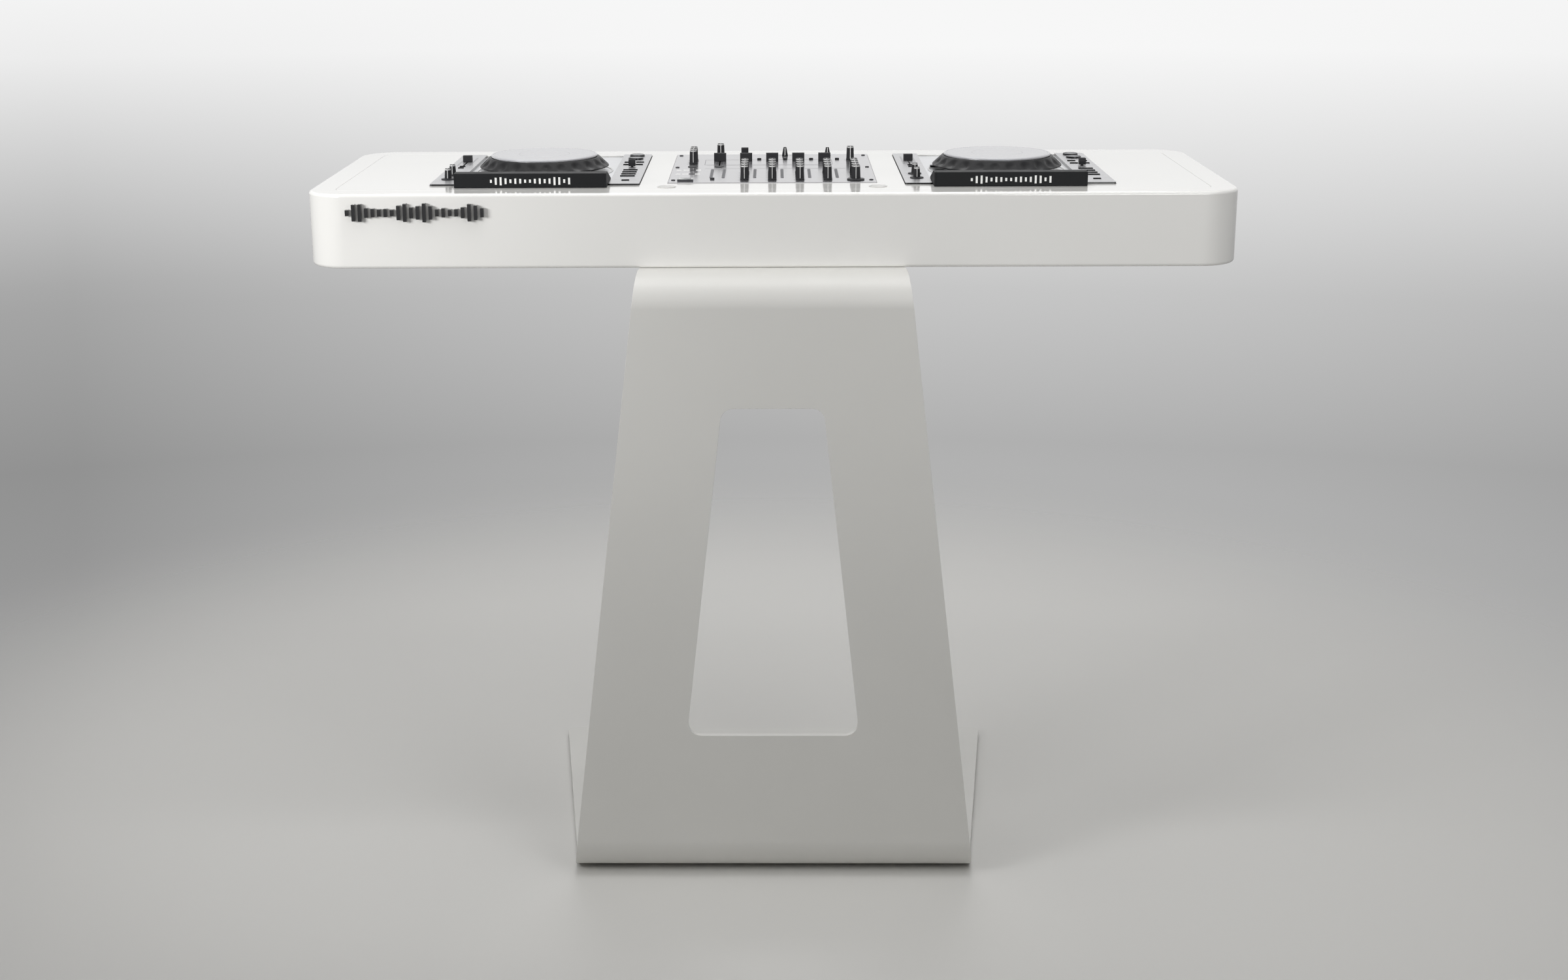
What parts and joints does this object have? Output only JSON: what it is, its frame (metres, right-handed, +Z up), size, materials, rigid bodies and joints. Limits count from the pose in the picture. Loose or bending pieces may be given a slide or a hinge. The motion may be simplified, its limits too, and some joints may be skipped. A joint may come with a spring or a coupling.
{
  "type": "dj booth",
  "caption": "Free-standing DJ booth: a thick white slab with media players and a mixer let into its top, on a tapered steel sheet bent into foot, windowed panel and flange.",
  "frame": {"origin": "on the floor, under the middle of the booth's overall box", "axes": "+X to the right seen from the audience, along the slab; +Y towards the performer; +Z up"},
  "size_m": [1.4, 0.604, 1.111],
  "materials": {
    "white_lacquer": "high-gloss white lacquer",
    "white_powder_coat": "satin white powder coat",
    "black_rubber": "moulded rubber",
    "zinc_steel": "zinc plated",
    "black_acrylic": "polished black acrylic",
    "case_steel": "black painted sheet",
    "silver_deck": "silver painted deck",
    "wing_aluminium": "brushed grey aluminium",
    "hood_black": "satin black moulding",
    "screen_glass": "dark display lens",
    "key_black": "moulded keys",
    "spindle_steel": "turned steel",
    "jog_black": "moulded grip ring",
    "jog_silver": "light grey gloss disc",
    "knob_black": "soft-touch knob",
    "fader_black": "moulded fader cap",
    "button_black": "round push button",
    "plate_aluminium": "satin anodised plate",
    "meter_window": "smoked meter window",
    "black_steel": "black plated screw",
    "board_green": "circuit board"
  },
  "bodies": {
    "booth": {"pedestal": "white_powder_coat", "floor_glides": "black_rubber", "pedestal_bolts": "zinc_steel", "slab_body": "white_lacquer", "slab_top_panel": "white_lacquer", "port_caps": "white_lacquer", "front_bars": "black_acrylic", "player_cases": "case_steel", "player_decks": "silver_deck", "player_wing_plates": "wing_aluminium", "player_hoods": "hood_black", "player_screens": "screen_glass", "player_keys": "key_black", "jog_spindles": "spindle_steel", "mixer_case": "case_steel", "mixer_plate": "plate_aluminium", "mixer_screws": "black_steel", "mixer_windows": "meter_window", "mixer_small_controls": "knob_black", "circuit_boards": "board_green"},
    "left_jog": {"left_jog_ring": "jog_black", "left_jog_disc": "jog_silver"},
    "left_start_knob": {"left_start_knob": "knob_black"},
    "left_brake_knob": {"left_brake_knob": "knob_black"},
    "left_tempo_fader": {"left_tempo_fader": "fader_black"},
    "left_direction_lever": {"left_direction_lever": "fader_black"},
    "left_cue_button": {"left_cue_button": "button_black"},
    "left_play_button": {"left_play_button": "button_black"},
    "right_jog": {"right_jog_ring": "jog_black", "right_jog_disc": "jog_silver"},
    "right_start_knob": {"right_start_knob": "knob_black"},
    "right_brake_knob": {"right_brake_knob": "knob_black"},
    "right_tempo_fader": {"right_tempo_fader": "fader_black"},
    "right_direction_lever": {"right_direction_lever": "fader_black"},
    "right_cue_button": {"right_cue_button": "button_black"},
    "right_play_button": {"right_play_button": "button_black"},
    "channel_1_trim_knob": {"channel_1_trim_knob": "knob_black"},
    "channel_1_high_knob": {"channel_1_high_knob": "knob_black"},
    "channel_1_mid_knob": {"channel_1_mid_knob": "knob_black"},
    "channel_1_low_knob": {"channel_1_low_knob": "knob_black"},
    "channel_1_fader": {"channel_1_fader": "fader_black"},
    "channel_2_trim_knob": {"channel_2_trim_knob": "knob_black"},
    "channel_2_high_knob": {"channel_2_high_knob": "knob_black"},
    "channel_2_mid_knob": {"channel_2_mid_knob": "knob_black"},
    "channel_2_low_knob": {"channel_2_low_knob": "knob_black"},
    "channel_2_fader": {"channel_2_fader": "fader_black"},
    "channel_3_trim_knob": {"channel_3_trim_knob": "knob_black"},
    "channel_3_high_knob": {"channel_3_high_knob": "knob_black"},
    "channel_3_mid_knob": {"channel_3_mid_knob": "knob_black"},
    "channel_3_low_knob": {"channel_3_low_knob": "knob_black"},
    "channel_3_fader": {"channel_3_fader": "fader_black"},
    "channel_4_trim_knob": {"channel_4_trim_knob": "knob_black"},
    "channel_4_high_knob": {"channel_4_high_knob": "knob_black"},
    "channel_4_mid_knob": {"channel_4_mid_knob": "knob_black"},
    "channel_4_low_knob": {"channel_4_low_knob": "knob_black"},
    "channel_4_fader": {"channel_4_fader": "fader_black"},
    "master_fader": {"master_fader": "fader_black"},
    "crossfader": {"crossfader": "fader_black"},
    "effects_knob": {"effects_knob": "knob_black"},
    "phones_knob": {"phones_knob": "knob_black"}
  },
  "joints": [
    {"name": "left_jog_turn", "type": "hinge", "parent": "booth", "child": "left_jog", "pos_m": [-0.366, 0.032, 1.083], "axis": [0, 0, 1], "continuous": true},
    {"name": "left_start_knob_turn", "type": "hinge", "parent": "booth", "child": "left_start_knob", "pos_m": [-0.5025, -0.09887, 1.0875], "axis": [0, 0, 1], "range_deg": [-140, 140]},
    {"name": "left_brake_knob_turn", "type": "hinge", "parent": "booth", "child": "left_brake_knob", "pos_m": [-0.5025, -0.04892, 1.0875], "axis": [0, 0, 1], "range_deg": [-140, 140]},
    {"name": "left_tempo_slide", "type": "slide", "parent": "booth", "child": "left_tempo_fader", "axis": [0, 1, 0], "range_m": [-0.05, 0.05]},
    {"name": "left_direction_rock", "type": "hinge", "parent": "booth", "child": "left_direction_lever", "pos_m": [-0.2265, 0.04913, 1.0855], "axis": [1, 0, 0], "range_deg": [-12, 12], "stiffness_Nm_per_rad": 0.05},
    {"name": "left_cue_button_press", "type": "slide", "parent": "booth", "child": "left_cue_button", "axis": [0, 0, -1], "range_m": [0, 0.0015], "stiffness_N_per_m": 400, "springref_m": -0.002},
    {"name": "left_play_button_press", "type": "slide", "parent": "booth", "child": "left_play_button", "axis": [0, 0, -1], "range_m": [0, 0.0015], "stiffness_N_per_m": 400, "springref_m": -0.002},
    {"name": "right_jog_turn", "type": "hinge", "parent": "booth", "child": "right_jog", "pos_m": [0.36, 0.032, 1.083], "axis": [0, 0, 1], "continuous": true},
    {"name": "right_start_knob_turn", "type": "hinge", "parent": "booth", "child": "right_start_knob", "pos_m": [0.2235, -0.09887, 1.0875], "axis": [0, 0, 1], "range_deg": [-140, 140]},
    {"name": "right_brake_knob_turn", "type": "hinge", "parent": "booth", "child": "right_brake_knob", "pos_m": [0.2235, -0.04892, 1.0875], "axis": [0, 0, 1], "range_deg": [-140, 140]},
    {"name": "right_tempo_slide", "type": "slide", "parent": "booth", "child": "right_tempo_fader", "axis": [0, 1, 0], "range_m": [-0.05, 0.05]},
    {"name": "right_direction_rock", "type": "hinge", "parent": "booth", "child": "right_direction_lever", "pos_m": [0.4995, 0.04913, 1.0855], "axis": [1, 0, 0], "range_deg": [-12, 12], "stiffness_Nm_per_rad": 0.05},
    {"name": "right_cue_button_press", "type": "slide", "parent": "booth", "child": "right_cue_button", "axis": [0, 0, -1], "range_m": [0, 0.0015], "stiffness_N_per_m": 400, "springref_m": -0.002},
    {"name": "right_play_button_press", "type": "slide", "parent": "booth", "child": "right_play_button", "axis": [0, 0, -1], "range_m": [0, 0.0015], "stiffness_N_per_m": 400, "springref_m": -0.002},
    {"name": "channel_1_trim_knob_turn", "type": "hinge", "parent": "booth", "child": "channel_1_trim_knob", "pos_m": [0.086, -0.10594, 1.086], "axis": [0, 0, 1], "range_deg": [-140, 140]},
    {"name": "channel_1_high_knob_turn", "type": "hinge", "parent": "booth", "child": "channel_1_high_knob", "pos_m": [0.086, -0.07746, 1.086], "axis": [0, 0, 1], "range_deg": [-140, 140]},
    {"name": "channel_1_mid_knob_turn", "type": "hinge", "parent": "booth", "child": "channel_1_mid_knob", "pos_m": [0.086, -0.04898, 1.086], "axis": [0, 0, 1], "range_deg": [-140, 140]},
    {"name": "channel_1_low_knob_turn", "type": "hinge", "parent": "booth", "child": "channel_1_low_knob", "pos_m": [0.086, -0.0205, 1.086], "axis": [0, 0, 1], "range_deg": [-140, 140]},
    {"name": "channel_1_fader_slide", "type": "slide", "parent": "booth", "child": "channel_1_fader", "axis": [0, -1, 0], "range_m": [0, 0.06]},
    {"name": "channel_2_trim_knob_turn", "type": "hinge", "parent": "booth", "child": "channel_2_trim_knob", "pos_m": [0.043, -0.10594, 1.086], "axis": [0, 0, 1], "range_deg": [-140, 140]},
    {"name": "channel_2_high_knob_turn", "type": "hinge", "parent": "booth", "child": "channel_2_high_knob", "pos_m": [0.043, -0.07746, 1.086], "axis": [0, 0, 1], "range_deg": [-140, 140]},
    {"name": "channel_2_mid_knob_turn", "type": "hinge", "parent": "booth", "child": "channel_2_mid_knob", "pos_m": [0.043, -0.04898, 1.086], "axis": [0, 0, 1], "range_deg": [-140, 140]},
    {"name": "channel_2_low_knob_turn", "type": "hinge", "parent": "booth", "child": "channel_2_low_knob", "pos_m": [0.043, -0.0205, 1.086], "axis": [0, 0, 1], "range_deg": [-140, 140]},
    {"name": "channel_2_fader_slide", "type": "slide", "parent": "booth", "child": "channel_2_fader", "axis": [0, -1, 0], "range_m": [0, 0.06]},
    {"name": "channel_3_trim_knob_turn", "type": "hinge", "parent": "booth", "child": "channel_3_trim_knob", "pos_m": [0, -0.10594, 1.086], "axis": [0, 0, 1], "range_deg": [-140, 140]},
    {"name": "channel_3_high_knob_turn", "type": "hinge", "parent": "booth", "child": "channel_3_high_knob", "pos_m": [0, -0.07746, 1.086], "axis": [0, 0, 1], "range_deg": [-140, 140]},
    {"name": "channel_3_mid_knob_turn", "type": "hinge", "parent": "booth", "child": "channel_3_mid_knob", "pos_m": [0, -0.04898, 1.086], "axis": [0, 0, 1], "range_deg": [-140, 140]},
    {"name": "channel_3_low_knob_turn", "type": "hinge", "parent": "booth", "child": "channel_3_low_knob", "pos_m": [0, -0.0205, 1.086], "axis": [0, 0, 1], "range_deg": [-140, 140]},
    {"name": "channel_3_fader_slide", "type": "slide", "parent": "booth", "child": "channel_3_fader", "axis": [0, -1, 0], "range_m": [0, 0.06]},
    {"name": "channel_4_trim_knob_turn", "type": "hinge", "parent": "booth", "child": "channel_4_trim_knob", "pos_m": [-0.043, -0.10594, 1.086], "axis": [0, 0, 1], "range_deg": [-140, 140]},
    {"name": "channel_4_high_knob_turn", "type": "hinge", "parent": "booth", "child": "channel_4_high_knob", "pos_m": [-0.043, -0.07746, 1.086], "axis": [0, 0, 1], "range_deg": [-140, 140]},
    {"name": "channel_4_mid_knob_turn", "type": "hinge", "parent": "booth", "child": "channel_4_mid_knob", "pos_m": [-0.043, -0.04898, 1.086], "axis": [0, 0, 1], "range_deg": [-140, 140]},
    {"name": "channel_4_low_knob_turn", "type": "hinge", "parent": "booth", "child": "channel_4_low_knob", "pos_m": [-0.043, -0.0205, 1.086], "axis": [0, 0, 1], "range_deg": [-140, 140]},
    {"name": "channel_4_fader_slide", "type": "slide", "parent": "booth", "child": "channel_4_fader", "axis": [0, -1, 0], "range_m": [0, 0.06]},
    {"name": "master_fader_slide", "type": "slide", "parent": "booth", "child": "master_fader", "axis": [0, -1, 0], "range_m": [0, 0.06]},
    {"name": "crossfader_slide", "type": "slide", "parent": "booth", "child": "crossfader", "axis": [1, 0, 0], "range_m": [-0.0225, 0.0225]},
    {"name": "effects_knob_turn", "type": "hinge", "parent": "booth", "child": "effects_knob", "pos_m": [-0.129, 0.09448, 1.086], "axis": [0, 0, 1], "range_deg": [-140, 140]},
    {"name": "phones_knob_turn", "type": "hinge", "parent": "booth", "child": "phones_knob", "pos_m": [0.129, -0.10594, 1.086], "axis": [0, 0, 1], "range_deg": [-140, 140]}
  ]
}
